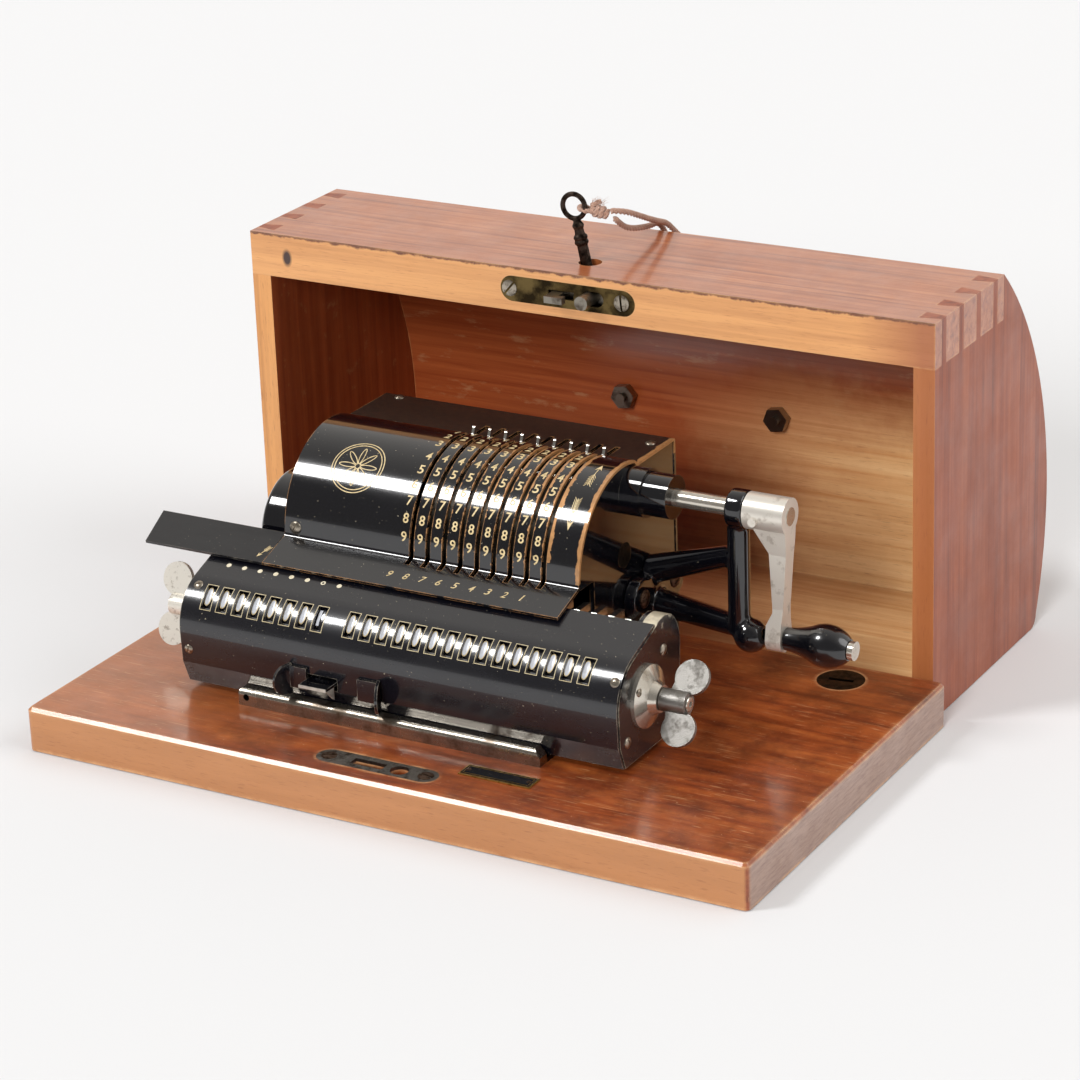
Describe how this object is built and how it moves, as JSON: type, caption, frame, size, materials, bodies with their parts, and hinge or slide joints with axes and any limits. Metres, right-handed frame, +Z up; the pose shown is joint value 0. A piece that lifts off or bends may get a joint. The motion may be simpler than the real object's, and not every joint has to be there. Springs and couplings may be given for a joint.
{
  "type": "pinwheel calculator",
  "caption": "Black hand-cranked pinwheel calculator with setting levers, sliding carriage and wing nuts on a wooden board, with its arched wooden case and key",
  "frame": {"origin": "centre of the wooden board's underside", "axes": "X along the carriage towards the crank, Y from the front to the case behind, Z up"},
  "size_m": [0.37, 0.3503, 0.2262],
  "materials": {
    "black_casting": "glossy black enamel on cast iron",
    "black_paint": "glossy black japan",
    "black_wood": "black lacquered turned wood",
    "brass_plate": "dulled brass",
    "bright_steel": "bare machined steel",
    "case_wood": "honey-brown varnished softwood, worn",
    "dark_steel": "oiled steel",
    "iron": "old iron, brown with age",
    "nickel": "worn nickel plate",
    "oak_board": "red-brown stained and varnished board, satin",
    "twine": "soft pinkish twine"
  },
  "bodies": {
    "frame": {"base_board": "oak_board", "board_plates": "brass_plate", "machine_bed": "black_casting", "side_plate_right": "black_paint", "side_plate_left": "black_paint", "tie_rods": "bright_steel", "body_cover": "black_paint", "back_cover": "black_paint", "left_housing": "black_casting", "extension_plate": "black_paint", "crank_boss": "black_casting", "crank_bracket": "black_casting", "carriage_rail": "bright_steel", "rear_rail": "dark_steel"},
    "drum": {"drum_shaft": "bright_steel", "pinwheels": "dark_steel", "drive_pins": "bright_steel", "carry_discs": "dark_steel", "counter_finger": "dark_steel"},
    "setting_ring_1": {"setting_ring_1": "bright_steel"},
    "setting_ring_2": {"setting_ring_2": "bright_steel"},
    "setting_ring_3": {"setting_ring_3": "bright_steel"},
    "setting_ring_4": {"setting_ring_4": "bright_steel"},
    "setting_ring_5": {"setting_ring_5": "bright_steel"},
    "setting_ring_6": {"setting_ring_6": "bright_steel"},
    "setting_ring_7": {"setting_ring_7": "bright_steel"},
    "setting_ring_8": {"setting_ring_8": "bright_steel"},
    "setting_ring_9": {"setting_ring_9": "bright_steel"},
    "train_idler": {"train_idler": "dark_steel"},
    "crank": {"crank_shaft": "nickel", "crank_arm": "nickel"},
    "handle_spindle": {"handle_spindle": "nickel"},
    "handle_grip": {"handle_grip": "black_wood"},
    "carriage": {"carriage_cover": "black_paint", "carriage_ends": "black_casting", "carriage_floor": "dark_steel", "carry_arbor": "bright_steel", "shaft_flanges": "nickel", "finger_grips": "black_paint"},
    "carry_levers": {"carry_levers": "bright_steel"},
    "shift_latch": {"shift_latch": "black_paint"},
    "result_register": {"result_wheels": "black_paint", "result_wing_nut": "nickel"},
    "counter_register": {"counter_wheels": "black_paint", "counter_wing_nut": "nickel"},
    "case": {"case_front": "case_wood", "case_back": "case_wood", "case_roof": "case_wood", "case_ends": "case_wood", "lock_body": "brass_plate", "case_hardware": "bright_steel", "twine": "twine"},
    "lock_bolt": {"lock_bolt": "bright_steel"},
    "key": {"key": "iron", "twine_knot": "twine"},
    "case_handle": {"case_handle": "bright_steel"}
  },
  "joints": [
    {"name": "drum_spin", "type": "hinge", "parent": "frame", "child": "drum", "pos_m": [0, 0.0368, 0.0862], "axis": [1, 0, 0], "continuous": true},
    {"name": "idler_spin", "type": "hinge", "parent": "frame", "child": "train_idler", "pos_m": [0.0486, 0.04583, 0.0994], "axis": [1, 0, 0], "continuous": true},
    {"name": "crank_spin", "type": "hinge", "parent": "frame", "child": "crank", "pos_m": [0.09, 0.044, 0.1153], "axis": [1, 0, 0], "continuous": true},
    {"name": "handle_pull", "type": "slide", "parent": "crank", "child": "handle_spindle", "axis": [1, 0, 0], "range_m": [0, 0.004], "stiffness_N_per_m": 600},
    {"name": "grip_spin", "type": "hinge", "parent": "handle_spindle", "child": "handle_grip", "pos_m": [0.145, 0.044, 0.0563], "axis": [1, 0, 0], "continuous": true},
    {"name": "set_digit_1", "type": "hinge", "parent": "drum", "child": "setting_ring_1", "pos_m": [0.0375, 0.0368, 0.0862], "axis": [1, 0, 0], "range_deg": [0, 97.2]},
    {"name": "set_digit_2", "type": "hinge", "parent": "drum", "child": "setting_ring_2", "pos_m": [0.0289, 0.0368, 0.0862], "axis": [1, 0, 0], "range_deg": [0, 97.2]},
    {"name": "set_digit_3", "type": "hinge", "parent": "drum", "child": "setting_ring_3", "pos_m": [0.0203, 0.0368, 0.0862], "axis": [1, 0, 0], "range_deg": [0, 97.2]},
    {"name": "set_digit_4", "type": "hinge", "parent": "drum", "child": "setting_ring_4", "pos_m": [0.0117, 0.0368, 0.0862], "axis": [1, 0, 0], "range_deg": [0, 97.2]},
    {"name": "set_digit_5", "type": "hinge", "parent": "drum", "child": "setting_ring_5", "pos_m": [0.0031, 0.0368, 0.0862], "axis": [1, 0, 0], "range_deg": [0, 97.2]},
    {"name": "set_digit_6", "type": "hinge", "parent": "drum", "child": "setting_ring_6", "pos_m": [-0.0055, 0.0368, 0.0862], "axis": [1, 0, 0], "range_deg": [0, 97.2]},
    {"name": "set_digit_7", "type": "hinge", "parent": "drum", "child": "setting_ring_7", "pos_m": [-0.0141, 0.0368, 0.0862], "axis": [1, 0, 0], "range_deg": [0, 97.2]},
    {"name": "set_digit_8", "type": "hinge", "parent": "drum", "child": "setting_ring_8", "pos_m": [-0.0227, 0.0368, 0.0862], "axis": [1, 0, 0], "range_deg": [0, 97.2]},
    {"name": "set_digit_9", "type": "hinge", "parent": "drum", "child": "setting_ring_9", "pos_m": [-0.0313, 0.0368, 0.0862], "axis": [1, 0, 0], "range_deg": [0, 97.2]},
    {"name": "carriage_slide", "type": "slide", "parent": "frame", "child": "carriage", "axis": [1, 0, 0], "range_m": [-0.043, 0.0172]},
    {"name": "latch_press", "type": "hinge", "parent": "carriage", "child": "shift_latch", "pos_m": [-0.0532, -0.0464, 0.031], "axis": [1, 0, 0], "range_deg": [0, 6], "stiffness_Nm_per_rad": 0.05, "springref_deg": -5.73},
    {"name": "carry_tip", "type": "hinge", "parent": "carriage", "child": "carry_levers", "pos_m": [0, -0.0145, 0.0772], "axis": [1, 0, 0], "range_deg": [0, 8], "stiffness_Nm_per_rad": 0.02, "springref_deg": -5.73},
    {"name": "result_clear", "type": "hinge", "parent": "carriage", "child": "result_register", "pos_m": [0, -0.0272, 0.051], "axis": [1, 0, 0], "continuous": true},
    {"name": "counter_clear", "type": "hinge", "parent": "carriage", "child": "counter_register", "pos_m": [-0.1, -0.0272, 0.051], "axis": [1, 0, 0], "continuous": true},
    {"name": "case_lift_off", "type": "slide", "parent": "frame", "child": "case", "axis": [0, 1, 0], "range_m": [0, 0.15]},
    {"name": "key_turn", "type": "hinge", "parent": "case", "child": "key", "pos_m": [-0.0059, 0.1225, 0.18165], "axis": [0.2079, 0, -0.9781], "range_deg": [0, 90]},
    {"name": "bolt_throw", "type": "slide", "parent": "case", "child": "lock_bolt", "axis": [1, 0, 0], "range_m": [0, 0.004]},
    {"name": "handle_swing", "type": "hinge", "parent": "case", "child": "case_handle", "pos_m": [-0.003, 0.2438, 0.087], "axis": [1, 0, 0], "range_deg": [0, 150]}
  ],
  "couplings": [
    {"joint": "crank_spin", "follows": "drum_spin", "ratio": 1},
    {"joint": "idler_spin", "follows": "drum_spin", "ratio": -1}
  ]
}
